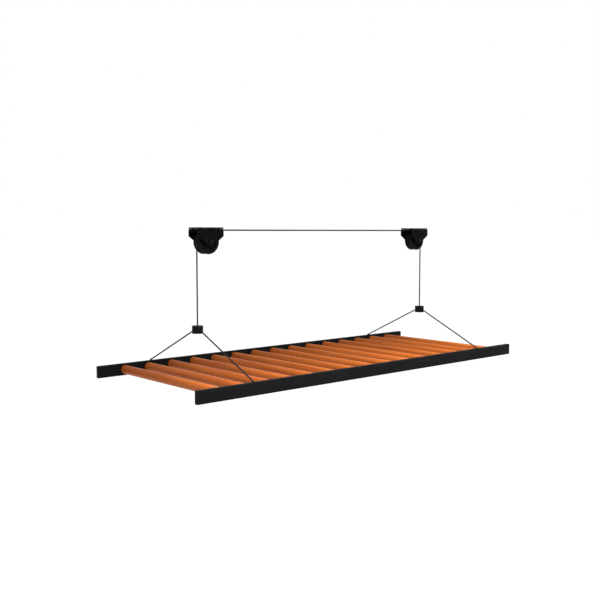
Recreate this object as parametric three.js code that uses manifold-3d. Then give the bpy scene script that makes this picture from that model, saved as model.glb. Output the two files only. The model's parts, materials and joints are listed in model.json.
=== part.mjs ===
// Ceiling mounted pulley rack: two pulley blocks on the ceiling, one cable over both of them,
// and a rack of round bars between two rails that hangs on a two-legged bridle at each end.
// Millimetres. The origin is on the ceiling plane, midway between the pulley blocks.
// +X runs along the rails, +Y is towards the rear rail and +Z is up.

import * as THREE from 'three';
import { mergeVertices } from 'three/addons/utils/BufferGeometryUtils.js';
import Module from 'manifold-3d';

const wasm = await Module();
wasm.setup();

// ---------------------------------------------------------------- driving dimensions

// Rack
const railLength = 1500;
const railHeight = 40;
const railThickness = 15;
const railWall = 1.5;
const rackWidth = 590;
const railTopDrop = 460;
const capPlate = 2;
const capPlugDepth = 12;
const dowelCount = 15;
const dowelDiameter = 30;
const dowelEndInset = 99;
const dowelEngagement = 10;

// Cable, joiners and the feet of the bridle legs
const cableDiameter = 5;
const dropSpacing = 1090;
const joinerDiameter = 36;
const joinerHeight = 25;
const joinerAboveRail = 120;
const joinerChamfer = 1;
const bridleApexInset = 7;
const legGripStart = 7;
const dropGripDepth = 9;
const anchorBallDiameter = 7;
const anchorBallCentre = 2;
const anchorShankDiameter = 5;

// Pulley block
const plateLength = 98;
const blockWidth = 57;
const plateThickness = 4.5;
const cheekThickness = 3.5;
const cheekEndDrop = 29;
const cheekTipRadius = 14;
const tabLength = 22;
const tabWidth = 14;
const screwInsetX = 11;
const screwInsetY = 10.5;
const screwDiameter = 4.8;
const screwHeadDiameter = 9;
const screwHeadHeight = 3;
const fixingHoleDiameter = 5.5;
const fixingSpacing = 40;
const keeperDiameter = 5;
const keeperAngle = Math.PI / 4;

// Sheave and axle
const sheavePitchRadius = 37;
const sheaveLip = 3;
const sheaveWidth = 30;
const sheaveTopRoom = 1.5;
const sheaveEdge = 1;
const rimThickness = 7;
const hubDiameter = 24;
const webRecess = 7;
const axleDiameter = 8;
const boltHeadDiameter = 14;
const boltHeadHeight = 4.5;
const nutAcrossFlats = 13;
const nutHeight = 6.5;
const threadPastNut = 2;
const spacerDiameter = 15;

// Clearances
const seatGap = 0.3;
const holeGap = 0.3;
const grooveGap = 0.48;
const cableEndGap = 0.8;
const cutOverrun = 2;

// Facets
const cableSides = 8;
const holeSides = 12;
const dowelSides = 20;
const axleSides = 16;
const sheaveSides = 36;
const joinerSides = 24;
const wrapSteps = 8;
const cheekTipSteps = 8;
const domeSteps = 4;

// ---------------------------------------------------------------- derived sizes

const cableRadius = cableDiameter / 2;
const sheaveRadius = sheavePitchRadius + sheaveLip;
const axleDrop = plateThickness + sheaveTopRoom + sheaveRadius;
const overheadDrop = axleDrop - sheavePitchRadius;
const dropX = dropSpacing / 2;
const blockX = dropX - sheavePitchRadius;
const cheekInnerY = blockWidth / 2 - cheekThickness;
const tabTop = -plateThickness - seatGap;
const screwX = plateLength / 2 - screwInsetX;
const screwY = blockWidth / 2 - screwInsetY;
const keeperOrbit = sheaveRadius + seatGap + keeperDiameter / 2;
const railMidY = rackWidth / 2 - railThickness / 2;
const railMidZ = -railTopDrop - railHeight / 2;
const dowelPitch = (railLength - 2 * dowelEndInset) / (dowelCount - 1);
const anchorZ = -railTopDrop + seatGap;
const joinerTopZ = -railTopDrop + joinerAboveRail + joinerHeight;
const bridleApexZ = joinerTopZ - bridleApexInset;

// ---------------------------------------------------------------- materials

function paint(color, roughness, metalness) {
  return () => new THREE.MeshStandardMaterial({ color, roughness, metalness });
}

const finish = {
  blackCoat: paint(0x17181a, 0.5, 0.2),
  blackPlastic: paint(0x101012, 0.42, 0),
  blackAnodised: paint(0x141517, 0.35, 0.7),
  blackSteel: paint(0x1d1d1f, 0.4, 0.8),
  steelCable: paint(0x3a3b3e, 0.4, 0.8),
  orangeWood: paint(0xd2601a, 0.45, 0),
};

// ---------------------------------------------------------------- solids

function toSolid(geometry) {
  const bare = geometry.clone();
  bare.deleteAttribute('normal');
  bare.deleteAttribute('uv');
  const merged = mergeVertices(bare);
  const vertProperties = new Float32Array(merged.attributes.position.array);
  const triVerts = new Uint32Array(merged.index.array);
  return new wasm.Manifold(new wasm.Mesh({ numProp: 3, vertProperties, triVerts }));
}

function toGeometry(solid) {
  const mesh = solid.getMesh();
  const geometry = new THREE.BufferGeometry();
  geometry.setAttribute('position', new THREE.BufferAttribute(new Float32Array(mesh.vertProperties), 3));
  geometry.setIndex(new THREE.BufferAttribute(new Uint32Array(mesh.triVerts), 1));
  geometry.computeVertexNormals();
  return geometry;
}

function join(base, additions) {
  const solid = additions.reduce((whole, extra) => whole.add(toSolid(extra)), toSolid(base));
  return toGeometry(solid);
}

function cut(base, tools) {
  const solid = tools.reduce((rest, tool) => rest.subtract(toSolid(tool)), toSolid(base));
  return toGeometry(solid);
}

// A box given by its extents along each axis.
function block(x, y, z) {
  const geometry = new THREE.BoxGeometry(x[1] - x[0], y[1] - y[0], z[1] - z[0]);
  return geometry.translate((x[0] + x[1]) / 2, (y[0] + y[1]) / 2, (z[0] + z[1]) / 2);
}

// A cylinder whose axis is parallel to Y, between two values of y.
function rodY(diameter, sides, x, y, z) {
  const geometry = new THREE.CylinderGeometry(diameter / 2, diameter / 2, y[1] - y[0], sides);
  return geometry.translate(x, (y[0] + y[1]) / 2, z);
}

// A cylinder whose axis is parallel to Z, between two values of z.
function rodZ(diameter, sides, x, y, z) {
  const geometry = new THREE.CylinderGeometry(diameter / 2, diameter / 2, z[1] - z[0], sides);
  return geometry.rotateX(Math.PI / 2).translate(x, y, (z[0] + z[1]) / 2);
}

// A solid of revolution about Y. The outline is [radius, height] pairs.
function turned(outline, sides) {
  return new THREE.LatheGeometry(outline.map(([r, y]) => new THREE.Vector2(r, y)), sides);
}

function polygon(radius, sides) {
  const corner = (i) => {
    const angle = (2 * Math.PI * i) / sides;
    return new THREE.Vector2(radius * Math.cos(angle), radius * Math.sin(angle));
  };
  return new THREE.Shape(Array.from({ length: sides }, (_, i) => corner(i)));
}

// A path through given stations, one extrusion step to each.
class StationPath extends THREE.Curve {
  constructor(stations) {
    super();
    this.stations = stations;
  }

  getPoint(t, target = new THREE.Vector3()) {
    const place = t * (this.stations.length - 1);
    const index = Math.min(Math.floor(place), this.stations.length - 2);
    return target.lerpVectors(this.stations[index], this.stations[index + 1], place - index);
  }

  getUtoTmapping(u) {
    return u;
  }
}

function cableAlong(stations) {
  const settings = { steps: stations.length - 1, bevelEnabled: false, extrudePath: new StationPath(stations) };
  return new THREE.ExtrudeGeometry(polygon(cableRadius, cableSides), settings);
}

function named(name, geometry, material) {
  const mesh = new THREE.Mesh(geometry, material());
  mesh.name = name;
  return mesh;
}

// ---------------------------------------------------------------- pulley block

// The plate that lies on the ceiling, with holes for the cheek screws and for the installer's own.
function mountingPlate() {
  const plate = block(
    [-plateLength / 2, plateLength / 2],
    [-blockWidth / 2, blockWidth / 2],
    [-plateThickness, 0],
  );
  const through = [-plateThickness - cutOverrun, cutOverrun];
  const holes = [];
  for (const sx of [-1, 1]) {
    for (const sy of [-1, 1]) {
      holes.push(rodZ(screwDiameter + 2 * holeGap, holeSides, sx * screwX, sy * screwY, through));
      const fixing = fixingSpacing / 2;
      holes.push(rodZ(fixingHoleDiameter, holeSides, sx * fixing, sy * fixing, through));
    }
  }
  return cut(plate, holes);
}

// The side view of a cheek: upright ends, then two slopes that meet the round tip about the axle.
function cheekOutline() {
  const half = plateLength / 2;
  const rise = axleDrop - cheekEndDrop;
  const reach = Math.hypot(half, rise);
  const tangent = Math.atan2(rise, half) - Math.acos(cheekTipRadius / reach);
  const shape = new THREE.Shape();
  shape.moveTo(-half, tabTop);
  shape.lineTo(-half, -cheekEndDrop);
  shape.absarc(0, -axleDrop, cheekTipRadius, -Math.PI - tangent, tangent, false);
  shape.lineTo(half, -cheekEndDrop);
  shape.lineTo(half, tabTop);
  shape.closePath();
  return shape;
}

// One side plate of a pulley block, with a tab folded inwards under the mounting plate at each end.
function cheek(side, outward) {
  const inner = side * cheekInnerY;
  const span = [Math.min(inner, side * blockWidth / 2), Math.max(inner, side * blockWidth / 2)];
  const plate = new THREE.ExtrudeGeometry(cheekOutline(), {
    depth: cheekThickness,
    bevelEnabled: false,
    curveSegments: cheekTipSteps,
  });
  plate.rotateX(Math.PI / 2).translate(0, span[1], 0);
  const fold = side * (cheekInnerY + cheekThickness / 2);
  const edge = side * (cheekInnerY - tabWidth);
  const tabY = [Math.min(fold, edge), Math.max(fold, edge)];
  const tabs = [-1, 1].map((end) => {
    const x = [end * plateLength / 2, end * (plateLength / 2 - tabLength)].sort((a, b) => a - b);
    return block(x, tabY, [tabTop - cheekThickness, tabTop]);
  });
  const across = [span[0] - cutOverrun, span[1] + cutOverrun];
  const upwards = [tabTop - cheekThickness - cutOverrun, tabTop + cutOverrun];
  const holes = [-1, 1].map((end) => {
    return rodZ(screwDiameter + 2 * holeGap, holeSides, end * screwX, side * screwY, upwards);
  });
  const [keeperX, keeperZ] = keeperPlace(outward);
  holes.push(rodY(axleDiameter + 2 * holeGap, axleSides, 0, across, -axleDrop));
  holes.push(rodY(keeperDiameter + 2 * holeGap, holeSides, keeperX, across, keeperZ));
  return cut(join(plate, tabs), holes);
}

// The keeper stands just outside the rim, over the part of the cable that turns downwards.
function keeperPlace(outward) {
  const x = outward * keeperOrbit * Math.cos(keeperAngle);
  return [x, -axleDrop + keeperOrbit * Math.sin(keeperAngle)];
}

// A grooved wheel with a recessed web on both faces and a bore on its axis.
function sheave() {
  const half = sheaveWidth / 2;
  const bore = axleDiameter / 2 + holeGap;
  const hub = hubDiameter / 2;
  const floorRadius = sheavePitchRadius - cableRadius - holeGap;
  const pitchHalf = (cableRadius + grooveGap) * Math.SQRT2;
  const floorHalf = pitchHalf - (sheavePitchRadius - floorRadius);
  const mouthHalf = pitchHalf + sheaveLip;
  const rimInner = sheaveRadius - rimThickness - sheaveLip;
  const web = half - webRecess;
  const lower = [
    [bore, -half],
    [hub, -half],
    [hub, -web],
    [rimInner, -web],
    [rimInner, -half],
    [sheaveRadius - sheaveEdge, -half],
    [sheaveRadius, -half + sheaveEdge],
    [sheaveRadius, -mouthHalf],
    [floorRadius, -floorHalf],
  ];
  const upper = lower.map(([r, y]) => [r, -y]).reverse();
  return turned([...lower, ...upper, lower[0]], sheaveSides);
}

// A round-headed bolt through both cheeks, its head on the front one.
function axleBolt() {
  const head = blockWidth / 2 + seatGap;
  const tail = blockWidth / 2 + seatGap + nutHeight + threadPastNut;
  const crown = boltHeadHeight / 3;
  const outline = [
    [0, -head - boltHeadHeight],
    [boltHeadDiameter / 2 - crown, -head - boltHeadHeight],
    [boltHeadDiameter / 2, -head - boltHeadHeight + crown],
    [boltHeadDiameter / 2, -head],
    [axleDiameter / 2, -head],
    [axleDiameter / 2, tail],
    [0, tail],
  ];
  return turned(outline, axleSides).translate(0, 0, -axleDrop);
}

function axleNut() {
  const inner = blockWidth / 2 + seatGap;
  const corners = nutAcrossFlats / Math.cos(Math.PI / 6);
  const body = rodY(corners, 6, 0, [inner, inner + nutHeight], -axleDrop);
  const through = [inner - cutOverrun, inner + nutHeight + cutOverrun];
  return cut(body, [rodY(axleDiameter + 2 * holeGap, axleSides, 0, through, -axleDrop)]);
}

// The tube that keeps the sheave in the middle between the cheeks.
function spacer(side) {
  const near = sheaveWidth / 2 + seatGap;
  const far = cheekInnerY - seatGap;
  const y = [Math.min(side * near, side * far), Math.max(side * near, side * far)];
  const body = rodY(spacerDiameter, axleSides, 0, y, -axleDrop);
  const through = [y[0] - cutOverrun, y[1] + cutOverrun];
  return cut(body, [rodY(axleDiameter + 2 * holeGap, axleSides, 0, through, -axleDrop)]);
}

// A pan-headed machine screw, up through a cheek's tab into the mounting plate.
function cheekScrew() {
  const seat = tabTop - cheekThickness - seatGap;
  const edge = screwHeadHeight / 3;
  const outline = [
    [0, seat - screwHeadHeight],
    [screwHeadDiameter / 2 - edge, seat - screwHeadHeight],
    [screwHeadDiameter / 2, seat - screwHeadHeight + edge],
    [screwHeadDiameter / 2, seat],
    [screwDiameter / 2, seat],
    [screwDiameter / 2, -seatGap],
    [0, -seatGap],
  ];
  return turned(outline, holeSides).rotateX(Math.PI / 2);
}

function pulleyBlock(name, outward) {
  const group = new THREE.Group();
  group.position.x = outward * blockX;
  const add = (piece, geometry, material) => group.add(named(`${name}_${piece}`, geometry, material));

  add('mounting_plate', mountingPlate(), finish.blackCoat);
  add('front_cheek', cheek(-1, outward), finish.blackCoat);
  add('rear_cheek', cheek(1, outward), finish.blackCoat);
  add('front_spacer', spacer(-1), finish.blackSteel);
  add('rear_spacer', spacer(1), finish.blackSteel);
  add('axle_bolt', axleBolt(), finish.blackSteel);
  add('axle_nut', axleNut(), finish.blackSteel);

  const wheel = named(`${name}_sheave`, sheave(), finish.blackPlastic);
  wheel.position.z = -axleDrop;
  group.add(wheel);

  const [keeperX, keeperZ] = keeperPlace(outward);
  const pinHalf = blockWidth / 2;
  add('cable_keeper', rodY(keeperDiameter, holeSides, keeperX, [-pinHalf, pinHalf], keeperZ), finish.blackSteel);

  let count = 0;
  for (const sx of [-1, 1]) {
    for (const sy of [-1, 1]) {
      count += 1;
      const screw = named(`${name}_cheek_screw_${count}`, cheekScrew(), finish.blackSteel);
      screw.position.set(sx * screwX, sy * screwY, 0);
      group.add(screw);
    }
  }
  return group;
}

// ---------------------------------------------------------------- cables

// From where the left drop cable leaves its sheave, over both sheaves, to the right drop cable.
function overheadCable() {
  const quarter = (outward) => Array.from({ length: wrapSteps + 1 }, (_, i) => {
    const angle = (Math.PI / 2) * (i / wrapSteps);
    const x = blockX + sheavePitchRadius * Math.cos(angle);
    return new THREE.Vector3(outward * x, 0, -axleDrop + sheavePitchRadius * Math.sin(angle));
  });
  return cableAlong([...quarter(-1), ...quarter(1).reverse()]);
}

// Straight down from the sheave's side into the top of the joiner.
function dropCable(outward) {
  const top = new THREE.Vector3(outward * dropX, 0, -axleDrop - cableEndGap);
  const end = new THREE.Vector3(outward * dropX, 0, joinerTopZ - dropGripDepth);
  return cableAlong([top, end]);
}

// The straight line of a bridle leg: from its apex on the joiner's axis to its anchor's ball.
function legLine(outward, side) {
  const apex = new THREE.Vector3(outward * dropX, 0, bridleApexZ);
  const foot = new THREE.Vector3(outward * dropX, side * railMidY, anchorZ + anchorBallCentre);
  return { apex, foot, direction: foot.clone().sub(apex).normalize() };
}

function bridleLeg(outward, side) {
  const { apex, foot, direction } = legLine(outward, side);
  const start = apex.clone().addScaledVector(direction, legGripStart);
  const end = foot.clone().addScaledVector(direction, -anchorBallDiameter / 2 - seatGap);
  return cableAlong([start, end]);
}

// The cylinder that grips the drop cable from above and the two legs from the sides.
function cableJoiner(outward) {
  const radius = joinerDiameter / 2;
  const low = joinerTopZ - joinerHeight;
  const outline = [
    [0, low],
    [radius - joinerChamfer, low],
    [radius, low + joinerChamfer],
    [radius, joinerTopZ - joinerChamfer],
    [radius - joinerChamfer, joinerTopZ],
    [0, joinerTopZ],
  ];
  const body = turned(outline, joinerSides).rotateX(Math.PI / 2).translate(outward * dropX, 0, 0);
  const bore = cableDiameter + 3 * holeGap;
  const dropEnd = joinerTopZ - dropGripDepth - cutOverrun;
  const holes = [rodZ(bore, holeSides, outward * dropX, 0, [dropEnd, joinerTopZ + cutOverrun])];
  for (const side of [-1, 1]) {
    const { apex, direction } = legLine(outward, side);
    const hole = new THREE.CylinderGeometry(bore / 2, bore / 2, joinerDiameter, holeSides);
    const turn = new THREE.Quaternion().setFromUnitVectors(new THREE.Vector3(0, 1, 0), direction);
    const centre = apex.clone().addScaledVector(direction, legGripStart - seatGap + joinerDiameter / 2);
    hole.applyQuaternion(turn).translate(centre.x, centre.y, centre.z);
    holes.push(hole);
  }
  return cut(body, holes);
}

// A ball-headed stud in the top of a rail that holds the foot of a bridle leg.
function legAnchor(outward, side) {
  const radius = anchorBallDiameter / 2;
  const shankEnd = seatGap - (railHeight - dowelDiameter) / 2;
  const dome = Array.from({ length: domeSteps + 1 }, (_, i) => {
    const angle = (Math.PI / 2) * (i / domeSteps);
    return [i === domeSteps ? 0 : radius * Math.cos(angle), anchorBallCentre + radius * Math.sin(angle)];
  });
  const shank = anchorShankDiameter / 2;
  const outline = [[0, shankEnd], [shank, shankEnd], [shank, 0], [radius, 0], ...dome];
  const stud = turned(outline, holeSides).rotateX(Math.PI / 2);
  return stud.translate(outward * dropX, side * railMidY, anchorZ);
}

function suspension() {
  const group = new THREE.Group();
  group.add(named('overhead_cable', overheadCable(), finish.steelCable));
  for (const [end, outward] of [['left', -1], ['right', 1]]) {
    group.add(named(`${end}_drop_cable`, dropCable(outward), finish.steelCable));
    group.add(named(`${end}_cable_joiner`, cableJoiner(outward), finish.blackAnodised));
    for (const [face, side] of [['front', -1], ['rear', 1]]) {
      group.add(named(`${end}_${face}_bridle_leg`, bridleLeg(outward, side), finish.steelCable));
      group.add(named(`${end}_${face}_leg_anchor`, legAnchor(outward, side), finish.blackSteel));
    }
  }
  return group;
}

// ---------------------------------------------------------------- rack

function dowelX(index) {
  return (index - (dowelCount - 1) / 2) * dowelPitch;
}

// A rectangular tube, open at both ends, with a hole for each dowel and each leg anchor.
function rail(side) {
  const half = railLength / 2 - capPlate - seatGap;
  const y = [side * railMidY - railThickness / 2, side * railMidY + railThickness / 2];
  const z = [railMidZ - railHeight / 2, railMidZ + railHeight / 2];
  const tube = block([-half, half], y, z);
  const hollow = block(
    [-half - cutOverrun, half + cutOverrun],
    [y[0] + railWall, y[1] - railWall],
    [z[0] + railWall, z[1] - railWall],
  );
  const innerFace = side * (rackWidth / 2 - railThickness);
  const wallY = [innerFace - cutOverrun, innerFace + cutOverrun];
  const tools = [hollow];
  for (let i = 0; i < dowelCount; i += 1) {
    tools.push(rodY(dowelDiameter + 2 * holeGap, dowelSides, dowelX(i), wallY, railMidZ));
  }
  const wallZ = [-railTopDrop - railWall - cutOverrun / 2, -railTopDrop + cutOverrun];
  for (const outward of [-1, 1]) {
    const bore = anchorShankDiameter + 2 * holeGap;
    tools.push(rodZ(bore, holeSides, outward * dropX, side * railMidY, wallZ));
  }
  return cut(tube, tools);
}

// A cap with a plate over the tube's end and a plug inside it.
function endCap(outward, side) {
  const tubeEnd = railLength / 2 - capPlate;
  const plateX = [outward * tubeEnd, outward * railLength / 2].sort((a, b) => a - b);
  const plugX = [outward * (tubeEnd + capPlate / 2), outward * (tubeEnd - capPlugDepth)].sort((a, b) => a - b);
  const around = (inset) => [
    [side * railMidY - railThickness / 2 + inset, side * railMidY + railThickness / 2 - inset],
    [railMidZ - railHeight / 2 + inset, railMidZ + railHeight / 2 - inset],
  ];
  const plug = block(plugX, ...around(railWall + seatGap));
  return join(block(plateX, ...around(0)), [plug]);
}

function dowel(index) {
  const half = rackWidth / 2 - railThickness + dowelEngagement;
  return rodY(dowelDiameter, dowelSides, dowelX(index), [-half, half], railMidZ);
}

function rack() {
  const group = new THREE.Group();
  for (const [face, side] of [['front', -1], ['rear', 1]]) {
    group.add(named(`${face}_rail`, rail(side), finish.blackCoat));
    for (const [end, outward] of [['left', -1], ['right', 1]]) {
      group.add(named(`${face}_rail_${end}_cap`, endCap(outward, side), finish.blackPlastic));
    }
  }
  for (let i = 0; i < dowelCount; i += 1) {
    const number = String(i + 1).padStart(2, '0');
    group.add(named(`dowel_${number}`, dowel(i), finish.orangeWood));
  }
  return group;
}

// ---------------------------------------------------------------- whole object

const pulleyRack = new THREE.Group();
pulleyRack.add(pulleyBlock('left', -1));
pulleyRack.add(pulleyBlock('right', 1));
pulleyRack.add(suspension());
pulleyRack.add(rack());

export default pulleyRack;
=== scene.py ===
"""Ceiling mounted pulley rack: the looks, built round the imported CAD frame. Metres, +Z up."""

import json
import math

import bmesh
import bpy
from mathutils import Matrix, Vector
from mathutils.noise import noise


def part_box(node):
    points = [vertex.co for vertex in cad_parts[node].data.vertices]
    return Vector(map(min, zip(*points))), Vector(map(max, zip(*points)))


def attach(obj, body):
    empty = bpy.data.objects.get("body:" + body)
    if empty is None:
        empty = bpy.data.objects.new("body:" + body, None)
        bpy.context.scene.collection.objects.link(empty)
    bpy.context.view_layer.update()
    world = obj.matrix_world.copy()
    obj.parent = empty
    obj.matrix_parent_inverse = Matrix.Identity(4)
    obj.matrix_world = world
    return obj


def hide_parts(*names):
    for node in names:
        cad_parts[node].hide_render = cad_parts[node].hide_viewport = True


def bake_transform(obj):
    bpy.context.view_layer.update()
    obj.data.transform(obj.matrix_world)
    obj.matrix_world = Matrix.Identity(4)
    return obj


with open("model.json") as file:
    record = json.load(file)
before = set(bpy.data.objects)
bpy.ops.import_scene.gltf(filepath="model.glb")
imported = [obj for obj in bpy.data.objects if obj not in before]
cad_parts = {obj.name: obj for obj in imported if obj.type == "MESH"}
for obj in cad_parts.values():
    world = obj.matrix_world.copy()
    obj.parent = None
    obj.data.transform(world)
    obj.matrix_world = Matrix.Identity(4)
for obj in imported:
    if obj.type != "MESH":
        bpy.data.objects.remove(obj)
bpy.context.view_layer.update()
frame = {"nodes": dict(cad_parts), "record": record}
MM = 0.001
ENDS = (("left", -1), ("right", 1))
FACES = (("front", -1), ("rear", 1))


# ---------------------------------------------------------------- sizes from the frame


def middle(node):
    low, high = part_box(node)
    return (low + high) / 2


def size(node):
    low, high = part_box(node)
    return high - low


PLATE = size("left_mounting_plate")
PLATE_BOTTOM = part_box("left_mounting_plate")[0].z
CHEEK_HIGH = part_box("left_front_cheek")[1]
AXLE_Z = middle("left_sheave").z
SHEAVE = size("left_sheave")
DROP_X = middle("right_drop_cable").x
BLOCK_X = middle("right_mounting_plate").x
CABLE_RADIUS = size("left_drop_cable").y / 2
PITCH_RADIUS = DROP_X - BLOCK_X
JOINER_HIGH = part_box("right_cable_joiner")[1]
RAIL_LOW, RAIL_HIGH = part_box("rear_rail")
CAP_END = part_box("rear_rail_right_cap")[1].x
DOWELS = sorted(n for n in frame["nodes"] if n.startswith("dowel_"))
DOWEL_RADIUS = size(DOWELS[0]).z / 2
DOWEL_PITCH = middle(DOWELS[1]).x - middle(DOWELS[0]).x

# ---------------------------------------------------------------- camera

CAMERA_PLACE = (-2.0727, -2.2215, -0.0148)
CAMERA_AHEAD = (0.66090, 0.74609, -0.08100)
LENS_MM = 50.23
SENSOR_MM = 36.0


def add_camera():
    data = bpy.data.cameras.new("camera")
    data.lens = LENS_MM
    data.sensor_width = SENSOR_MM
    data.clip_end = 1000
    camera = bpy.data.objects.new("camera", data)
    camera.location = CAMERA_PLACE
    camera.rotation_mode = "QUATERNION"
    camera.rotation_quaternion = Vector(CAMERA_AHEAD).to_track_quat("-Z", "Y")
    bpy.context.scene.collection.objects.link(camera)
    bpy.context.scene.camera = camera


# ---------------------------------------------------------------- material helpers


class Recipe:
    """A material under construction: its nodes, and short ways to add and join them."""

    def __init__(self, name, **settings):
        self.material = bpy.data.materials.new(name)
        self.material.use_nodes = True
        self.nodes = self.material.node_tree.nodes
        self.links = self.material.node_tree.links
        self.shader = self.nodes["Principled BSDF"]
        for socket, value in settings.items():
            self.shader.inputs[socket.replace("_", " ")].default_value = value
        self.place = self.node("ShaderNodeTexCoord").outputs["Object"]

    def node(self, kind, **settings):
        made = self.nodes.new(kind)
        for key, value in settings.items():
            setattr(made, key, value)
        return made

    def join(self, output, target):
        self.links.new(output, target)

    def feed(self, node, **inputs):
        """Sets a node's sockets: a number or tuple is a value, anything else is linked."""
        for name, value in inputs.items():
            socket = node.inputs[name.replace("_", " ")]
            if isinstance(value, bpy.types.NodeSocket):
                self.join(value, socket)
            else:
                socket.default_value = value
        return node

    def stretched(self, scale):
        mapping = self.node("ShaderNodeMapping")
        self.feed(mapping, Vector=self.place, Scale=scale)
        return mapping.outputs["Vector"]

    def noise(self, scale, detail=3.0, roughness=0.55, vector=None, distortion=0.0):
        made = self.node("ShaderNodeTexNoise")
        self.feed(made, Vector=vector or self.place, Scale=scale, Detail=detail)
        self.feed(made, Roughness=roughness, Distortion=distortion)
        return made.outputs["Fac"]

    def math(self, operation, a, b=0.0, clamp=False):
        made = self.node("ShaderNodeMath", operation=operation, use_clamp=clamp)
        for socket, value in zip(made.inputs, (a, b)):
            if isinstance(value, bpy.types.NodeSocket):
                self.join(value, socket)
            else:
                socket.default_value = value
        return made.outputs["Value"]

    def ramp(self, factor, low, high, start=0.0, end=1.0):
        """A value or colour that goes from low to high as factor goes from start to end."""
        kind = "FLOAT" if isinstance(low, (int, float)) else "FLOAT_VECTOR"
        made = self.node("ShaderNodeMapRange", data_type=kind, clamp=True)
        if kind == "FLOAT":
            self.feed(made, Value=factor, From_Min=start, From_Max=end, To_Min=low, To_Max=high)
            return made.outputs["Result"]
        for socket, value in ((7, (start,) * 3), (8, (end,) * 3), (9, low), (10, high)):
            made.inputs[socket].default_value = value
        self.join(factor, made.inputs[6])
        return made.outputs["Vector"]

    def blend(self, factor, a, b, mode="MIX"):
        """Two colours, mixed by a factor."""
        made = self.node("ShaderNodeMix", data_type="RGBA", blend_type=mode)
        for socket, value in ((0, factor), (6, a), (7, b)):
            if isinstance(value, bpy.types.NodeSocket):
                self.join(value, made.inputs[socket])
            else:
                made.inputs[socket].default_value = value if socket == 0 else (*value, 1.0)
        return made.outputs[2]

    def colour(self, output):
        self.join(output, self.shader.inputs["Base Color"])

    def roughness(self, output):
        self.join(output, self.shader.inputs["Roughness"])

    def bump(self, height, distance, strength=1.0):
        made = self.node("ShaderNodeBump")
        self.feed(made, Height=height, Distance=distance, Strength=strength)
        previous = self.shader.inputs["Normal"]
        if previous.is_linked:
            self.join(previous.links[0].from_socket, made.inputs["Normal"])
        self.join(made.outputs["Normal"], previous)


def powder_coat():
    """Satin black powder coat: fine orange peel, with faint duller patches from handling."""
    m = Recipe("black_powder_coat", Specular_IOR_Level=0.04, IOR=1.3)
    patches = m.noise(9.0, 4.0)
    m.colour(m.blend(patches, (0.0024, 0.0024, 0.0025), (0.0052, 0.0052, 0.0054)))
    m.roughness(m.ramp(m.noise(40.0, 5.0, 0.6), 0.40, 0.56, 0.3, 0.7))
    m.bump(m.noise(900.0, 2.0), 0.00012)
    m.bump(m.noise(3500.0, 1.0), 0.00003)
    return m.material


def moulded_nylon():
    """Black moulded nylon: a finely textured matt skin."""
    m = Recipe("black_nylon", Specular_IOR_Level=0.08, IOR=1.35)
    m.colour(m.blend(m.noise(30.0), (0.0028, 0.0028, 0.0030), (0.0050, 0.0050, 0.0053)))
    m.roughness(m.ramp(m.noise(120.0, 3.0), 0.42, 0.6, 0.3, 0.7))
    m.bump(m.noise(2600.0, 2.0), 0.00004)
    return m.material


def anodised():
    """Black anodised aluminium with the fine rings that a lathe tool leaves."""
    m = Recipe("black_anodised", Specular_IOR_Level=0.08, IOR=1.35)
    rings = m.noise(1.0, 2.0, vector=m.stretched((8.0, 8.0, 5200.0)))
    m.colour(m.blend(m.noise(60.0), (0.0022, 0.0022, 0.0024), (0.0042, 0.0042, 0.0044)))
    m.roughness(m.ramp(rings, 0.28, 0.44, 0.3, 0.7))
    m.bump(rings, 0.00003)
    return m.material


def black_oxide():
    """Black oxide steel: a dark metal, slightly browned, with brighter rubbed spots."""
    m = Recipe("black_steel", Specular_IOR_Level=0.12)
    rubbed = m.ramp(m.noise(420.0, 4.0, 0.6), 0.0, 1.0, 0.52, 0.72)
    m.colour(m.blend(rubbed, (0.0040, 0.0039, 0.0040), (0.012, 0.0115, 0.011)))
    m.roughness(m.ramp(m.noise(700.0, 3.0), 0.30, 0.50, 0.3, 0.7))
    m.bump(m.noise(1800.0, 2.0), 0.00002)
    return m.material


def wire_rope():
    """Galvanised wire rope, dulled by handling, with grease dark in its grooves."""
    m = Recipe("wire_rope", Metallic=0.3, Specular_IOR_Level=0.15)
    grease = m.noise(500.0, 3.0)
    m.colour(m.blend(grease, (0.004, 0.004, 0.0045), (0.018, 0.018, 0.019)))
    m.roughness(m.ramp(m.noise(900.0, 2.0), 0.34, 0.55, 0.3, 0.7))
    m.bump(m.noise(2600.0, 2.0), 0.00005)
    return m.material


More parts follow.
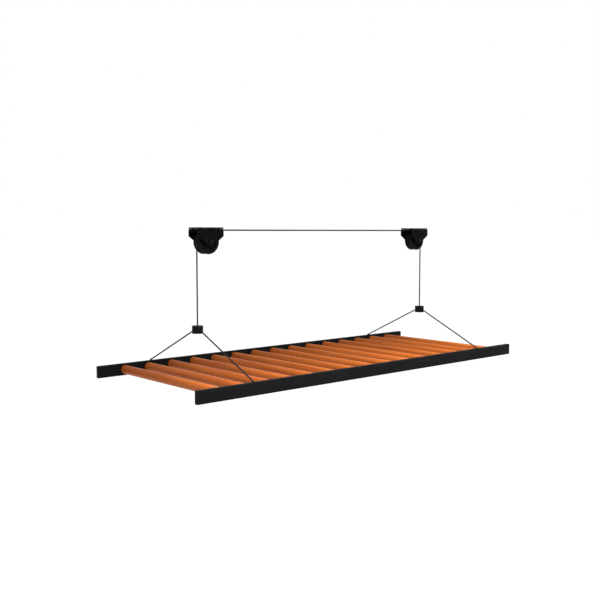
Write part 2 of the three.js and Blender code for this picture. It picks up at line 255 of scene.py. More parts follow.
def stained_wood():
    """Orange-stained round bars: long grain, a tint that differs from bar to bar, satin varnish."""
    m = Recipe("stained_wood", Specular_IOR_Level=0.16, IOR=1.33)
    fibres = m.noise(1.0, 6.0, 0.62, m.stretched((260.0, 7.0, 260.0)), 0.3)
    pores = m.noise(1.0, 3.0, 0.5, m.stretched((1500.0, 26.0, 1500.0)))
    waves = m.noise(1.0, 2.0, 0.5, m.stretched((46.0, 2.4, 46.0)), 0.8)
    bar = m.node("ShaderNodeSeparateXYZ")
    m.join(m.place, bar.inputs[0])
    index = m.math("ROUND", m.math("DIVIDE", bar.outputs["X"], DOWEL_PITCH))
    tint = m.node("ShaderNodeTexWhiteNoise", noise_dimensions="1D")
    m.join(index, tint.inputs["W"])
    early, late = (0.318, 0.081, 0.0125), (0.250, 0.055, 0.0083)
    base = m.blend(m.ramp(waves, 0.0, 1.0, 0.35, 0.68), early, late)
    base = m.blend(m.ramp(fibres, 0.0, 0.55, 0.50, 0.78), base, (0.150, 0.029, 0.005))
    base = m.blend(m.ramp(pores, 0.0, 0.45, 0.62, 0.80), base, (0.095, 0.018, 0.004))
    light = m.ramp(tint.outputs["Value"], 0.88, 1.08)
    scaled = m.node("ShaderNodeVectorMath", operation="SCALE")
    m.join(base, scaled.inputs[0])
    m.join(light, scaled.inputs["Scale"])
    m.colour(scaled.outputs[0])
    m.roughness(m.ramp(fibres, 0.34, 0.50, 0.3, 0.7))
    m.bump(fibres, 0.00006)
    m.bump(pores, 0.00003)
    return m.material


def pale_floor():
    m = Recipe("pale_floor", Specular_IOR_Level=0.0, Emission_Strength=0.6)
    m.shader.inputs["Emission Color"].default_value = (1, 1, 1, 1)
    m.colour(m.blend(m.noise(1.4, 2.0), (0.90, 0.90, 0.90), (0.93, 0.93, 0.93)))
    m.roughness(m.ramp(m.noise(6.0), 0.7, 0.9))
    return m.material


MATERIALS = {
    "black_coat": powder_coat(),
    "black_plastic": moulded_nylon(),
    "black_anodised": anodised(),
    "black_steel": black_oxide(),
    "steel_cable": wire_rope(),
    "orange_wood": stained_wood(),
}

# ---------------------------------------------------------------- mesh helpers


def shade(mesh, sharp_degrees=32.0):
    """Smooth faces, with a sharp edge wherever two faces meet at more than the given angle."""
    made = bmesh.new()
    made.from_mesh(mesh)
    bmesh.ops.remove_doubles(made, verts=made.verts, dist=1e-7)
    bmesh.ops.recalc_face_normals(made, faces=made.faces)
    limit = math.radians(sharp_degrees)
    for face in made.faces:
        face.smooth = True
    for edge in made.edges:
        edge.smooth = len(edge.link_faces) == 2 and edge.calc_face_angle(0.0) < limit
    made.to_mesh(mesh)
    made.free()


def piece(name, mesh, slot, body, stands_for, sharp_degrees=32.0):
    """A finished piece: shaded, painted, riding on its body and standing for a CAD node."""
    shade(mesh, sharp_degrees)
    made = bpy.data.objects.new(name, mesh)
    bpy.context.scene.collection.objects.link(made)
    mesh.materials.clear()
    mesh.materials.append(MATERIALS[slot])
    if body:
        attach(made, body)
    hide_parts(stands_for)
    return made


def from_rings(name, rings, close_ends=True):
    """A mesh from rings of points, each joined to the next. The ends are filled with a fan."""
    mesh = bpy.data.meshes.new(name)
    made = bmesh.new()
    rows = [[made.verts.new(p) for p in ring] for ring in rings]
    count = len(rings[0])
    for near, far in zip(rows, rows[1:]):
        for i in range(count):
            j = (i + 1) % count
            made.faces.new((near[i], near[j], far[j], far[i]))
    if close_ends:
        for row in (rows[0], rows[-1]):
            centre = made.verts.new(sum((v.co for v in row), Vector()) / count)
            for i in range(count):
                made.faces.new((row[i], row[(i + 1) % count], centre))
    made.to_mesh(mesh)
    made.free()
    return mesh


def at_angle(value, angle):
    return value(angle) if callable(value) else value


def lathe_rings(outline, sides, place):
    """Rings for (radius, height) pairs. Either may be a function of the angle."""
    rings = []
    for radius, height in outline:
        ring = []
        for i in range(sides):
            angle = 2 * math.pi * i / sides
            r, h = at_angle(radius, angle), at_angle(height, angle)
            ring.append(place @ Vector((r * math.cos(angle), r * math.sin(angle), h)))
        rings.append(ring)
    return rings


def closed_lathe(name, outline, sides, place):
    """A turned ring: the outline goes round and comes back to its own start."""
    rings = lathe_rings([*outline, outline[0]], sides, place)
    return from_rings(name, rings, close_ends=False)


def solid_lathe(name, outline, sides, place):
    return from_rings(name, lathe_rings(outline, sides, place))


def rounded(outline, radius, steps=4, closed=True):
    """The (radius, height) outline with every corner rounded, as far as its sides allow."""
    result, count = [], len(outline)
    for i, corner in enumerate(outline):
        if not closed and i in (0, count - 1):
            result.append(corner)
            continue
        here = Vector(corner)
        before, after = Vector(outline[i - 1]) - here, Vector(outline[(i + 1) % count]) - here
        turn = math.pi - before.angle(after)
        if turn < math.radians(4):
            result.append(corner)
            continue
        reach = min(radius * math.tan(turn / 2), before.length * 0.48, after.length * 0.48)
        first, last = here + before.normalized() * reach, here + after.normalized() * reach
        for k in range(steps + 1):
            t = k / steps
            point = first * (1 - t) ** 2 + here * 2 * t * (1 - t) + last * t * t
            result.append((point.x, point.y))
    return result


def facing(direction, centre):
    """The matrix that takes +Z to a direction and the origin to a centre."""
    turn = Vector((0, 0, 1)).rotation_difference(Vector(direction))
    return Matrix.Translation(centre) @ turn.to_matrix().to_4x4()


def sheet_metal(name, outline, holes, thickness, edge):
    """A flat plate in XY, centred on z = 0, with eased edges round its outline and its holes."""
    curve = bpy.data.curves.new(name, "CURVE")
    curve.dimensions = "2D"
    curve.fill_mode = "BOTH"
    curve.bevel_depth = edge
    curve.offset = -edge
    curve.bevel_resolution = 2
    curve.extrude = thickness / 2 - edge
    for points, winding in [(outline, 1), *((h, -1) for h in holes)]:
        area = sum(a[0] * b[1] - b[0] * a[1] for a, b in zip(points, [*points[1:], points[0]]))
        ordered = points if area * winding > 0 else points[::-1]
        spline = curve.splines.new("POLY")
        spline.points.add(len(ordered) - 1)
        for target, (x, y) in zip(spline.points, ordered):
            target.co = (x, y, 0, 1)
        spline.use_cyclic_u = True
    holder = bpy.data.objects.new(name, curve)
    mesh = bpy.data.meshes.new_from_object(holder)
    bpy.data.objects.remove(holder)
    bpy.data.curves.remove(curve)
    mesh.name = name
    made = bmesh.new()
    made.from_mesh(mesh)
    bmesh.ops.remove_doubles(made, verts=made.verts, dist=1e-6)
    made.to_mesh(mesh)
    made.free()
    return mesh


def circle(x, y, radius, sides=40):
    step = 2 * math.pi / sides
    return [(x + radius * math.cos(i * step), y + radius * math.sin(i * step)) for i in range(sides)]


def cut_from(mesh, cutters):
    """The mesh with other meshes cut out of it."""
    base = bpy.data.objects.new("base", mesh)
    bpy.context.scene.collection.objects.link(base)
    tools = []
    for i, cutter in enumerate(cutters):
        tool = bpy.data.objects.new(f"cutter_{i}", cutter)
        bpy.context.scene.collection.objects.link(tool)
        change = base.modifiers.new(f"cut_{i}", "BOOLEAN")
        change.operation = "DIFFERENCE"
        change.solver = "EXACT"
        change.object = tool
        tools.append(tool)
    ready = base.evaluated_get(bpy.context.evaluated_depsgraph_get())
    result = bpy.data.meshes.new_from_object(ready)
    result.name = mesh.name
    for extra in [base, *tools]:
        bpy.data.objects.remove(extra)
    return result

# ---------------------------------------------------------------- sizes of small details

PLATE_CORNER = 3 * MM
FIXING_SPACING = 40 * MM
FIXING_HOLE = 5.5 * MM
SCREW_INSET = (11 * MM, 10.5 * MM)
SCREW_HOLE = 5.4 * MM
SCREW_SOCKET = 3 * MM
CHEEK_END_DROP = 29 * MM
CHEEK_TIP_RADIUS = 14 * MM
CHEEK_TAB = (22 * MM, 14 * MM)
CHEEK_SHEET = 3.5 * MM
CHEEK_BEND = 2 * MM
CHEEK_RELIEF = 2 * MM
CHEEK_CORNER = 2 * MM
SHEET_EDGE = 0.45 * MM
AXLE = 8 * MM
AXLE_HOLE = 8.6 * MM
KEEPER_HOLE = 5.6 * MM
HUB_RADIUS = 12 * MM
RIM_RADIUS = 30 * MM
GROOVE_ROOT_HALF = 1.2 * MM
GROOVE_MOUTH_HALF = 8.8 * MM
WEB_HALF = 8 * MM
RIB_HALF = 12.5 * MM
RIBS = 6
NUT_FLATS = 13 * MM
THREAD_PITCH = 1.25 * MM
THREAD_DEPTH = 0.55 * MM
STRANDS = 6
VALLEY_SHARE = 0.86
STRAND_LAY = 26 * MM
APEX_DROP = 7 * MM
LEG_GRIP = 7 * MM
DROP_GRIP = 9 * MM
ANCHOR_BALL = 3.5 * MM
ANCHOR_BALL_HEIGHT = 2 * MM
ANCHOR_SHANK = 2.5 * MM
RAIL_WALL = 1.5 * MM
RAIL_CORNER = 1.8 * MM
CAP_PLATE = 2 * MM
SLIDING_GAP = 0.3 * MM
SWAY_ROOM_DEGREES = 13
TILTING_GAP = CABLE_RADIUS * math.sin(math.radians(SWAY_ROOM_DEGREES))
GROOVE_ROOT = PITCH_RADIUS - CABLE_RADIUS - SLIDING_GAP
JOINER_BORE = 2 * CABLE_RADIUS + 3 * SLIDING_GAP
DOWEL_BOW = 0.25 * MM

BODY_OF = {n: body for body, nodes in frame["record"]["behaviour"]["bodies"].items() for n in nodes}


def stand_in(node, mesh, slot, sharp_degrees=32.0):
    return piece(f"{node}_fine", mesh, slot, BODY_OF[node], node, sharp_degrees)


# ---------------------------------------------------------------- cables


def strand_radius(angle):
    """The outline of six strands pressed together round a core, so that the valleys are shallow."""
    strand = CABLE_RADIUS / 3
    spread = math.pi / STRANDS
    off = (angle + spread) % (2 * spread) - spread
    inside = max(0.0, strand**2 - (2 * strand * math.sin(off)) ** 2)
    return max(VALLEY_SHARE * CABLE_RADIUS, 2 * strand * math.cos(off) + math.sqrt(inside))


def evenly(points, step):
    """Points a step apart along a line of straight stretches, its two ends included."""
    lengths = [(b - a).length for a, b in zip(points, points[1:])]
    count = max(2, round(sum(lengths) / step))
    result, index, before = [], 0, 0.0
    for k in range(count + 1):
        along = sum(lengths) * k / count
        while index < len(lengths) - 1 and along > before + lengths[index]:
            before += lengths[index]
            index += 1
        share = min(1.0, (along - before) / lengths[index])
        result.append(points[index].lerp(points[index + 1], share))
    return result


def wire_rope_mesh(name, points, across, sides=24):
    """A twisted rope along a line that lies in a plane. across is the plane's normal."""
    path = evenly(points, STRAND_LAY / 16)
    step = (path[1] - path[0]).length
    across = Vector(across)
    rings = []
    for k, centre in enumerate(path):
        ahead = (path[min(k + 1, len(path) - 1)] - path[max(k - 1, 0)]).normalized()
        other = ahead.cross(across)
        twist = 2 * math.pi * k * step / STRAND_LAY
        ring = []
        for i in range(sides):
            angle = 2 * math.pi * i / sides
            radius = strand_radius(angle)
            turn = angle + twist
            ring.append(centre + (across * math.cos(turn) + other * math.sin(turn)) * radius)
        rings.append(ring)
    return from_rings(name, rings), path


def overhead_cable():
    steps = 48
    quarter = []
    for i in range(steps + 1):
        angle = math.pi / 2 * i / steps
        x = BLOCK_X + PITCH_RADIUS * math.cos(angle)
        quarter.append(Vector((x, 0, AXLE_Z + PITCH_RADIUS * math.sin(angle))))
    mirrored = [Vector((-p.x, p.y, p.z)) for p in quarter]
    mesh, path = wire_rope_mesh("overhead_cable", mirrored + quarter[::-1], (0, 1, 0))
    made = stand_in("overhead_cable", mesh, "steel_cable", 60)


def drop_cable(end, outward):
    """The cable from a sheave down to its joiner. In use it lengthens as the rack comes down; this
    mesh is built at one length and rides on no body.
    """
    x = outward * DROP_X
    top = Vector((x, 0, AXLE_Z - TILTING_GAP))
    foot = Vector((x, 0, JOINER_HIGH.z - DROP_GRIP))
    mesh, path = wire_rope_mesh(f"{end}_drop_cable", [top, foot], (0, 1, 0))
    made = piece(f"{end}_drop_cable_fine", mesh, "steel_cable", None, f"{end}_drop_cable", 60)
    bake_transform(made)


def leg_line(outward, side):
    """A bridle leg's apex on the joiner's axis, its foot at the anchor's ball, its direction."""
    x = outward * DROP_X
    apex = Vector((x, 0, JOINER_HIGH.z - APEX_DROP))
    foot = Vector((x, side * RAIL_MID_Y, RAIL_HIGH.z + SLIDING_GAP + ANCHOR_BALL_HEIGHT))
    return apex, foot, (foot - apex).normalized()


def bridle_leg(end, outward, face, side):
    apex, foot, ahead = leg_line(outward, side)
    start, stop = apex + ahead * LEG_GRIP, foot - ahead * (ANCHOR_BALL - 0.8 * MM)
    mesh, path = wire_rope_mesh(f"{end}_{face}_bridle_leg", [start, stop], (1, 0, 0))
    made = stand_in(f"{end}_{face}_bridle_leg", mesh, "steel_cable", 60)


# ---------------------------------------------------------------- pulley block


def mounting_plate(end, outward):
    half_x, half_y = PLATE.x / 2, PLATE.y / 2
    corners = [(-half_x, -half_y), (half_x, -half_y), (half_x, half_y), (-half_x, half_y)]
    outline = rounded(corners, PLATE_CORNER, 6)
    holes = []
    for sx in (-1, 1):
        for sy in (-1, 1):
            x, y = sx * (half_x - SCREW_INSET[0]), sy * (half_y - SCREW_INSET[1])
            holes.append(circle(x, y, SCREW_HOLE / 2))
            fixing = FIXING_SPACING / 2
            holes.append(circle(sx * fixing, sy * fixing, FIXING_HOLE / 2))
    mesh = sheet_metal("plate", outline, holes, PLATE.z, SHEET_EDGE)
    mesh.transform(Matrix.Translation((outward * BLOCK_X, 0, PLATE_BOTTOM / 2)))
    stand_in(f"{end}_mounting_plate", mesh, "black_coat")


TAB_TOP = CHEEK_HIGH.z
BEND_START = TAB_TOP - CHEEK_BEND - CHEEK_SHEET
BEND_RADIUS = CHEEK_BEND + CHEEK_SHEET / 2
SHEET_MID_Y = PLATE.y / 2 - CHEEK_SHEET / 2
TAB_STRAIGHT = SHEET_MID_Y - BEND_RADIUS - (PLATE.y / 2 - CHEEK_SHEET - CHEEK_TAB[1])
TAB_END = BEND_START + BEND_RADIUS * math.pi / 2 + TAB_STRAIGHT


def cheek_pattern():
    """The flat pattern of a cheek, seen from the front, with its two tabs not yet folded."""
    half = PLATE.x / 2
    rise = -AXLE_Z - CHEEK_END_DROP
    tangent = math.atan2(rise, half) - math.acos(CHEEK_TIP_RADIUS / math.hypot(half, rise))
    first, last = -math.pi - tangent, tangent
    tip = []
    for i in range(25):
        angle = first + (last - first) * i / 24
        x, z = CHEEK_TIP_RADIUS * math.cos(angle), CHEEK_TIP_RADIUS * math.sin(angle)
        tip.append((x, AXLE_Z + z))
    tab = half - CHEEK_TAB[0]
    notch, relief = tab - CHEEK_RELIEF, BEND_START - CHEEK_RELIEF / 2
    right = [(half, -CHEEK_END_DROP), (half, TAB_END), (tab, TAB_END), (tab, relief)]
    right += [(notch, relief), (notch, TAB_TOP)]
    left = [(-x, z) for x, z in reversed(right)]
    return rounded([*right, *left, *tip], CHEEK_CORNER)


def folded(co, side):
    """Where a point of the flat pattern goes once the tabs are folded inwards."""
    x, height, out = co
    past = height - BEND_START
    if abs(x) < PLATE.x / 2 - CHEEK_TAB[0] - CHEEK_RELIEF / 2 or past <= 0:
        return Vector((x, side * (SHEET_MID_Y + out), height))
    angle = min(past / BEND_RADIUS, math.pi / 2)
    straight = past - BEND_RADIUS * angle
    y = SHEET_MID_Y - BEND_RADIUS + (BEND_RADIUS + out) * math.cos(angle) - straight
    return Vector((x, side * y, BEND_START + (BEND_RADIUS + out) * math.sin(angle)))


def cheek(end, outward, face, side):
    keeper = middle(f"{end}_cable_keeper")
    screw_out = SHEET_MID_Y - BEND_RADIUS - (PLATE.y / 2 - SCREW_INSET[1])
    screw_height = BEND_START + BEND_RADIUS * math.pi / 2 + screw_out
    holes = [circle(0, AXLE_Z, AXLE_HOLE / 2, 64)]
    holes.append(circle(keeper.x - outward * BLOCK_X, keeper.z, KEEPER_HOLE / 2))
    for sx in (-1, 1):
        holes.append(circle(sx * (PLATE.x / 2 - SCREW_INSET[0]), screw_height, SCREW_HOLE / 2))
    mesh = sheet_metal("cheek", cheek_pattern(), holes, CHEEK_SHEET, SHEET_EDGE)
    made = bmesh.new()
    made.from_mesh(mesh)
    for k in range(9):
        height = BEND_START + BEND_RADIUS * math.pi / 2 * k / 8
        everything = [*made.verts, *made.edges, *made.faces]
        bmesh.ops.bisect_plane(made, geom=everything, plane_co=(0, height, 0), plane_no=(0, 1, 0))
    for vertex in made.verts:
        vertex.co = folded(vertex.co, side) + Vector((outward * BLOCK_X, 0, 0))
    made.to_mesh(mesh)
    made.free()
    stand_in(f"{end}_{face}_cheek", mesh, "black_coat")


def rib_height(angle):
    """Half the sheave's width at its web: it rises at each rib."""
    near = abs((angle * RIBS / (2 * math.pi)) % 1 - 0.5) * 2
    share = min(1.0, max(0.0, (near - 0.84) / 0.06))
    return WEB_HALF + (RIB_HALF - WEB_HALF) * share


def sheave(end, outward):
    """A moulded wheel: hub, ribbed web and a rim with a V groove for the cable."""
    half, radius = SHEAVE.y / 2, SHEAVE.z / 2
    near = rounded(
        [
            (AXLE_HOLE / 2, -half),
            (HUB_RADIUS, -half),
            (HUB_RADIUS + 0.8 * MM, -WEB_HALF),
            (RIM_RADIUS - 0.8 * MM, -WEB_HALF),
            (RIM_RADIUS, -half),
            (radius, -half),
            (radius, -GROOVE_MOUTH_HALF),
            (GROOVE_ROOT, -GROOVE_ROOT_HALF),
            (GROOVE_ROOT, 0),
        ],
        1.0 * MM,
        5,
        closed=False,
    )
    outline = [(AXLE_HOLE / 2, -half)]
    for r, y in near[1:]:
        on_web = HUB_RADIUS < r < RIM_RADIUS and abs(abs(y) - WEB_HALF) < 0.9 * MM
        outline.append((r, (lambda a: -rib_height(a)) if on_web else y))
    mirrored = []
    for r, y in outline[-2::-1]:
        mirrored.append((r, rib_height if callable(y) else -y))
    place = facing((0, 1, 0), (outward * BLOCK_X, 0, AXLE_Z))
    mesh = closed_lathe("sheave", [*outline, *mirrored], 192, place)
    stand_in(f"{end}_sheave", mesh, "black_plastic")


def hexagon(flats):
    step = math.pi / 3
    return lambda angle: flats / 2 / math.cos(angle % step - step / 2)


def thread(height, radius):
    """A ring of a screw thread: its radius rises and falls once on the way round."""

    def at(angle):
        turn = (height / THREAD_PITCH - angle / (2 * math.pi)) % 1
        return radius - THREAD_DEPTH * abs(2 * turn - 1)

    return at


def axle_bolt(end, outward):
    low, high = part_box(f"{end}_axle_bolt")
    head_top, tail = low.y, high.y
    head = (high.z - low.z) / 2
    seat = -PLATE.y / 2 - SLIDING_GAP
    socket = hexagon(5 * MM)
    outline = [(socket, head_top + 2.6 * MM), (socket, head_top + 0.3 * MM)]
    outline += [(lambda a: socket(a) + 0.3 * MM, head_top)]
    dome = [(head, seat), (head, seat - 1.2 * MM), (head * 0.86, head_top + 0.7 * MM)]
    dome += [(head * 0.62, head_top)]
    outline += rounded([*dome[::-1], (AXLE / 2, seat)], 1.1 * MM, 4, closed=False)
    threaded = tail - 12 * MM
    outline += [(AXLE / 2, threaded - 1 * MM)]
    count = 88
    for k in range(count):
        height = threaded + (tail - 0.8 * MM - threaded) * k / (count - 1)
        outline.append((thread(height, AXLE / 2), height))
    outline += [(AXLE / 2 - THREAD_DEPTH - 0.3 * MM, tail)]
    place = facing((0, 1, 0), (outward * BLOCK_X, 0, AXLE_Z))
    stand_in(f"{end}_axle_bolt", solid_lathe("bolt", outline, 48, place), "black_steel")


def axle_nut(end, outward):
    """A hexagon nut, its corners turned off at both faces."""
    low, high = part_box(f"{end}_axle_nut")
    thick = high.y - low.y
    corner = hexagon(NUT_FLATS)
    outline = []
    for k in range(5):
        height = 0.28 * MM * k
        limit = NUT_FLATS / 2 * 0.96 + height * math.tan(math.radians(58))
        outline.append((lambda a, limit=limit: min(corner(a), limit), height))
    outline += [(r, thick - h) for r, h in reversed(outline)]
    bore = AXLE / 2 + 0.1 * MM
    outline += [(bore + 0.5 * MM, thick), (bore, thick - 0.5 * MM)]
    outline += [(bore, 0.5 * MM), (bore + 0.5 * MM, 0)]
    place = facing((0, 1, 0), (outward * BLOCK_X, low.y, AXLE_Z))
    stand_in(f"{end}_axle_nut", closed_lathe("nut", outline, 96, place), "black_steel")


def spacer(end, face):
    low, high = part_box(f"{end}_{face}_spacer")
    centre, half, radius = (low + high) / 2, (high.y - low.y) / 2, (high.z - low.z) / 2
    bore = AXLE_HOLE / 2
    corners = [(bore, -half), (radius, -half), (radius, half), (bore, half)]
    outline = rounded(corners, 0.5 * MM)
    mesh = closed_lathe("spacer", outline, 64, facing((0, 1, 0), centre))
    stand_in(f"{end}_{face}_spacer", mesh, "black_steel")


def keeper_pin(end):
    """A pin through both cheeks, over the cable, with its ends peened to low domes."""
    low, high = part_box(f"{end}_cable_keeper")
    centre, half, radius = (low + high) / 2, (high.y - low.y) / 2, (high.z - low.z) / 2
    dome = 1.1 * MM
    quarter = []
    for k in range(1, 7):
        angle = math.pi / 12 * k
        quarter.append((radius * math.sin(angle), half - dome * (1 - math.cos(angle))))
    outline = [(r, -y) for r, y in quarter] + quarter[::-1]
    mesh = solid_lathe("keeper", outline, 40, facing((0, 1, 0), centre))
    stand_in(f"{end}_cable_keeper", mesh, "black_steel")


def cheek_screw(node):
    """A low socket-head screw, up through a tab into the mounting plate."""
    low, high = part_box(node)
    centre = (low + high) / 2
    head = (high.x - low.x) / 2
    tall = high.z - low.z
    socket = hexagon(SCREW_SOCKET)
    shank = SCREW_HOLE / 2 - SLIDING_GAP
    seat = 3 * MM
    outline = [(socket, 1.8 * MM), (socket, 0.2 * MM), (lambda a: socket(a) + 0.2 * MM, 0)]
    dome = [(head * 0.62, 0), (head * 0.88, 0.35 * MM), (head, 1.6 * MM), (head, seat)]
    outline += rounded([*dome, (shank, seat)], 0.8 * MM, 4, closed=False)
    outline += [(shank, tall - 0.6 * MM), (shank - 0.5 * MM, tall)]
    place = Matrix.Translation((centre.x, centre.y, low.z))
    stand_in(node, solid_lathe("screw", outline, 48, place), "black_steel")


def pulley_block(end, outward):
    mounting_plate(end, outward)
    sheave(end, outward)
    axle_bolt(end, outward)
    axle_nut(end, outward)
    keeper_pin(end)
    for face, side in FACES:
        cheek(end, outward, face, side)
        spacer(end, face)
    for number in range(1, 5):
        cheek_screw(f"{end}_cheek_screw_{number}")


# ---------------------------------------------------------------- joiners and anchors


def cable_joiner(end, outward):
    """A turned cylinder, bored from above for the drop cable and from the sides for the legs."""
    low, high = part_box(f"{end}_cable_joiner")
    radius, tall = (high.x - low.x) / 2, high.z - low.z
    place = Matrix.Translation((outward * DROP_X, 0, low.z))
    corners = [(radius - 5 * MM, 0), (radius, 0), (radius, tall), (radius - 5 * MM, tall)]
    outline = rounded(corners, 0.9 * MM, 6, closed=False)
    body = solid_lathe("joiner", outline, 96, place)
    bore = JOINER_BORE / 2
    deep = DROP_GRIP + 2 * MM
    wide = bore + 0.8 * MM
    top = Matrix.Translation((outward * DROP_X, 0, high.z - deep))
    mouth = [(bore, 0), (bore, deep - 0.4 * MM), (wide, deep + 0.4 * MM), (wide, deep + 3 * MM)]
    tools = [solid_lathe("bore", mouth, 32, top)]
    for _, side in FACES:
        apex, _, ahead = leg_line(outward, side)
        start = facing(ahead, apex + ahead * (LEG_GRIP - SLIDING_GAP))
        tools.append(solid_lathe("bore", [(bore, 0), (bore, 2 * radius)], 32, start))
    stand_in(f"{end}_cable_joiner", cut_from(body, tools), "black_anodised")


def leg_anchor(end, outward, face, side):
    """A ball-headed stud in the top of the rail, which holds the foot of a bridle leg."""
    low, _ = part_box(f"{end}_{face}_leg_anchor")
    x, y = outward * DROP_X, side * RAIL_MID_Y
    flange = RAIL_HIGH.z + SLIDING_GAP - low.z
    outline = [(ANCHOR_SHANK - 0.5 * MM, 0), (ANCHOR_SHANK, 0.5 * MM), (ANCHOR_SHANK, flange)]
    outline += [(ANCHOR_BALL - 0.2 * MM, flange), (ANCHOR_BALL, flange + 0.2 * MM)]
    ball = flange + ANCHOR_BALL_HEIGHT
    outline += [(ANCHOR_BALL, flange + 0.8 * MM), (ANCHOR_BALL - 0.35 * MM, flange + 1.1 * MM)]
    for k in range(-1, 8):
        angle = math.pi / 2 * k / 8
        outline.append((ANCHOR_BALL * math.cos(angle), ball + ANCHOR_BALL * math.sin(angle)))
    mesh = solid_lathe("anchor", outline, 40, Matrix.Translation((x, y, low.z)))
    stand_in(f"{end}_{face}_leg_anchor", mesh, "black_steel")


# ---------------------------------------------------------------- rack


def rounded_rectangle(half_y, half_z, radius):
    corners = [(half_y, half_z), (-half_y, half_z), (-half_y, -half_z), (half_y, -half_z)]
    return rounded(corners, radius, 5)


def section_ring(x, middle_y, half_y, half_z, radius):
    points = rounded_rectangle(half_y, half_z, radius)
    return [Vector((x, middle_y + y, RAIL_MID_Z + z)) for y, z in points]


def rail(face, side):
    """A rectangular tube with rounded corners, holed for the bars and the leg anchors."""
    low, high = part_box(f"{face}_rail")
    half_x, half_y, half_z = high.x, (high.y - low.y) / 2, (high.z - low.z) / 2
    y, edge = side * RAIL_MID_Y, 0.25 * MM
    rings = []
    for x, inset in ((-half_x, edge), (-half_x + edge, 0), (half_x - edge, 0), (half_x, edge)):
        rings.append(section_ring(x, y, half_y - inset, half_z - inset, RAIL_CORNER))
    for x in (half_x, -half_x):
        inner = (half_y - RAIL_WALL, half_z - RAIL_WALL, 0.6 * MM)
        rings.append(section_ring(x, y, *inner))
    mesh = from_rings("rail", [*rings, rings[0]], close_ends=False)
    tools = []
    wall = side * (RAIL_MID_Y - half_y + RAIL_WALL / 2)
    for node in DOWELS:
        place = facing((0, 1, 0), (middle(node).x, wall, RAIL_MID_Z))
        hole = DOWEL_RADIUS + SLIDING_GAP
        tools.append(solid_lathe("hole", [(hole, -RAIL_WALL), (hole, RAIL_WALL)], 64, place))
    for _, outward in ENDS:
        place = Matrix.Translation((outward * DROP_X, y, high.z - RAIL_WALL / 2))
        hole = ANCHOR_SHANK + SLIDING_GAP
        tools.append(solid_lathe("hole", [(hole, -RAIL_WALL), (hole, RAIL_WALL)], 32, place))
    stand_in(f"{face}_rail", cut_from(mesh, tools), "black_coat")


def end_cap(face, side, end, outward):
    """A moulded cap: a plate with a soft edge over the tube's end and a ribbed plug inside."""
    y, plate_end = side * RAIL_MID_Y, CAP_END
    half_y, half_z = RAIL_THICK / 2, (RAIL_HIGH.z - RAIL_LOW.z) / 2
    rings = []
    for out, inset in ((0, 1.6), (0.08, 0.9), (0.3, 0.35), (0.75, 0.03), (1.1, 0), (2, 0)):
        half = (half_y - inset * MM, half_z - inset * MM, (RAIL_CORNER + 0.2 * MM))
        rings.append(section_ring(outward * (plate_end - out * MM), y, *half))
    gap = RAIL_WALL + SLIDING_GAP
    for depth, inset in ((0, 0), (1, 0), (1.4, 0.4), (3, 0.4), (3.4, 0), (4.4, 0), (4.8, 0.4),
                         (6.4, 0.4), (6.8, 0), (7.8, 0), (8.2, 0.4), (11, 0.4), (12, 1.2)):
        half = (half_y - gap - inset * MM, half_z - gap - inset * MM, 0.8 * MM)
        rings.append(section_ring(outward * (plate_end - CAP_PLATE - depth * MM), y, *half))
    stand_in(f"{face}_rail_{end}_cap", from_rings("cap", rings), "black_plastic")


def dowel(node, number):
    """A round bar with eased ends. Like all turned wood, it is very slightly bowed."""
    low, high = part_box(node)
    half, x = (high.y - low.y) / 2, (low.x + high.x) / 2
    stations, sides, rings = 36, 64, []
    for k in range(stations + 1):
        share = k / stations
        y = half * (2 * share - 1)
        bow = DOWEL_BOW * math.sin(math.pi * share)
        shift = Vector((noise((number * 3.7, 0.5, 1.5)), 0, noise((number * 2.3, 4.5, 2.5)))) * bow
        if k in (0, stations):
            inner = DOWEL_RADIUS - 1 * MM
            rings.append(bar_ring(x, y, inner, shift, sides))
            y -= math.copysign(1 * MM, y)
        thick = DOWEL_RADIUS + 0.06 * MM * noise((number * 5.1, share * 6, 0.3)) - 0.06 * MM
        at = len(rings) - 1 if k == stations else len(rings)
        rings.insert(at, bar_ring(x, y, thick, shift, sides))
    stand_in(node, from_rings("bar", rings), "orange_wood", 40)


def bar_ring(x, y, radius, shift, sides):
    ring = []
    for i in range(sides):
        angle = 2 * math.pi * i / sides
        offset = Vector((radius * math.cos(angle), y, radius * math.sin(angle)))
        ring.append(Vector((x, 0, RAIL_MID_Z)) + shift + offset)
    return ring


# ---------------------------------------------------------------- stage


FLOOR_DROP = 2.4
FLOOR_HALF = 400
STRIP_PLACE = (0.15, -0.85, 0.3)
STRIP_TARGET = (0.15, -0.45, -0.48)
STRIP_WIDE = 2.8
STRIP_TALL = 0.3
STRIP_POWER = 37
STRIP_SPREAD_DEGREES = 92
SKY_FADE = (("From Min", 0.28), ("From Max", 0.7), ("To Min", 1.0), ("To Max", 0.3))


def add_floor():
    """A pale floor far below, at room height from the ceiling that the rack hangs on."""
    mesh = bpy.data.meshes.new("floor")
    made = bmesh.new()
    bmesh.ops.create_grid(made, x_segments=8, y_segments=8, size=FLOOR_HALF)
    made.to_mesh(mesh)
    made.free()
    mesh.materials.append(pale_floor())
    floor = bpy.data.objects.new("floor", mesh)
    floor.location.z = -FLOOR_DROP
    bpy.context.scene.collection.objects.link(floor)


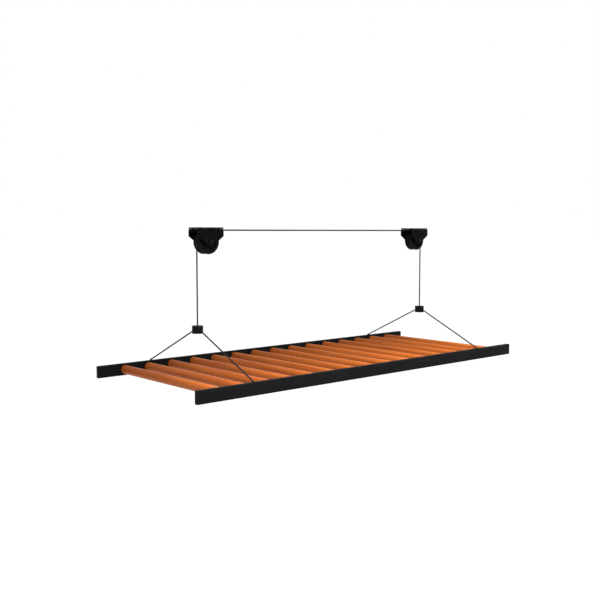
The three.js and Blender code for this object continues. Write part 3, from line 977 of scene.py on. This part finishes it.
def add_area_light(name, place, target, wide, tall, power):
    data = bpy.data.lights.new(name, "AREA")
    data.spread = math.radians(STRIP_SPREAD_DEGREES)
    data.shape = "RECTANGLE"
    data.size = wide
    data.size_y = tall
    data.energy = power
    light = bpy.data.objects.new(name, data)
    light.location = place
    light.rotation_mode = "QUATERNION"
    ahead = Vector(target) - Vector(place)
    light.rotation_quaternion = ahead.to_track_quat("-Z", "Y")
    light.visible_camera = False
    bpy.context.scene.collection.objects.link(light)


def add_world():
    """A white surround that is dimmer overhead, where the ceiling would be."""
    world = bpy.data.worlds.new("studio")
    bpy.context.scene.world = world
    world.use_nodes = True
    nodes, links = world.node_tree.nodes, world.node_tree.links
    background = nodes["Background"]
    background.inputs["Color"].default_value = (1, 1, 1, 1)
    direction = nodes.new("ShaderNodeSeparateXYZ")
    links.new(nodes.new("ShaderNodeTexCoord").outputs["Generated"], direction.inputs[0])
    fade = nodes.new("ShaderNodeMapRange")
    for name, value in SKY_FADE:
        fade.inputs[name].default_value = value
    links.new(direction.outputs["Z"], fade.inputs["Value"])
    links.new(fade.outputs["Result"], background.inputs["Strength"])


def add_light():
    add_world()
    add_area_light("front_strip", STRIP_PLACE, STRIP_TARGET, STRIP_WIDE, STRIP_TALL, STRIP_POWER)
    bpy.context.scene.view_settings.view_transform = "Standard"


# ---------------------------------------------------------------- the whole object

RAIL_MID_Z = (RAIL_LOW.z + RAIL_HIGH.z) / 2
RAIL_MID_Y = (RAIL_LOW.y + RAIL_HIGH.y) / 2
RAIL_THICK = RAIL_HIGH.y - RAIL_LOW.y

add_camera()
overhead_cable()
for end, outward in ENDS:
    drop_cable(end, outward)
    for face, side in FACES:
        bridle_leg(end, outward, face, side)
for end, outward in ENDS:
    pulley_block(end, outward)
    cable_joiner(end, outward)
    for face, side in FACES:
        leg_anchor(end, outward, face, side)
for face, side in FACES:
    rail(face, side)
    for end, outward in ENDS:
        end_cap(face, side, end, outward)
for number, node in enumerate(DOWELS):
    dowel(node, number)
add_floor()
add_light()
